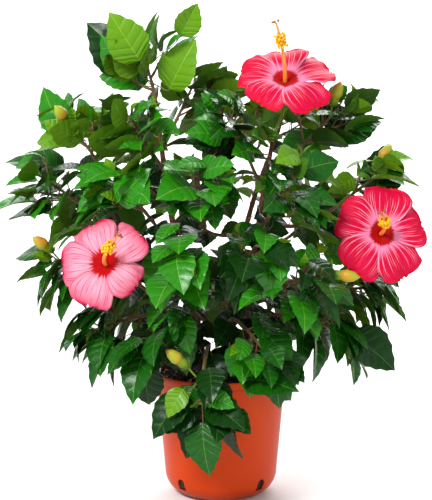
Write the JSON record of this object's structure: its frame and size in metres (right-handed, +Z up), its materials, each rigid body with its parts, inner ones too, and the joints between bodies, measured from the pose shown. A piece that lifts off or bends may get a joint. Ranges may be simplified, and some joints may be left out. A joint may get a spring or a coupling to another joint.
{
  "type": "potted hibiscus shrub",
  "caption": "Young flowering hibiscus shrub with slender stems, leafy shoots and open pink blooms, standing in a round tapered orange plastic nursery pot.",
  "frame": {"origin": "middle of the flat underside of the pot, at the level of the surface it stands on", "axes": "+Z up along the height of the plant, +X to the right and -Y towards the viewer of the front"},
  "size_m": [0.6903, 0.5165, 0.7956],
  "materials": {
    "pot": "satin",
    "soil": "matte",
    "stem_bark": "matte",
    "bough_bark": "matte",
    "foliage": "satin",
    "bloom": "matte",
    "bloom_pale": "matte"
  },
  "bodies": {
    "root": {"pot": "pot", "soil": "soil", "stem_back": "stem_bark", "stem_left": "stem_bark", "stem_middle": "stem_bark", "stem_right": "stem_bark", "bough_back_high_left": "bough_bark", "bough_back_left": "bough_bark", "bough_back_low": "bough_bark", "bough_back_low_left": "bough_bark", "bough_back_low_right": "bough_bark", "bough_back_mid": "bough_bark", "bough_back_right": "bough_bark", "bough_front_centre": "bough_bark", "bough_front_left": "bough_bark", "bough_front_low": "bough_bark", "bough_front_low_left": "bough_bark", "bough_front_low_right": "bough_bark", "bough_front_mid": "bough_bark", "bough_front_right_centre": "bough_bark", "bough_left_far": "bough_bark", "bough_left_low": "bough_bark", "bough_left_mid": "bough_bark", "bough_right_far": "bough_bark", "bough_right_far_low": "bough_bark", "bough_right_front": "bough_bark", "bough_right_low": "bough_bark", "bough_right_mid": "bough_bark", "bloom_left": "bloom_pale", "bloom_right": "bloom", "bloom_top": "bloom", "back_high": "foliage", "back_high_left": "foliage", "back_left": "foliage", "back_low": "foliage", "back_low_left": "foliage", "back_low_right": "foliage", "back_mid": "foliage", "back_right": "foliage", "front_centre": "foliage", "front_high_left": "foliage", "front_left": "foliage", "front_low": "foliage", "front_low_left": "foliage", "front_low_right": "foliage", "front_mid": "foliage", "front_right_centre": "foliage", "left_far": "foliage", "left_high": "foliage", "left_low": "foliage", "left_mid": "foliage", "right_far": "foliage", "right_far_low": "foliage", "right_front": "foliage", "right_high": "foliage", "right_low": "foliage", "right_mid": "foliage", "top_back": "foliage", "top_middle": "foliage", "upper_mid": "foliage"}
  },
  "joints": []
}
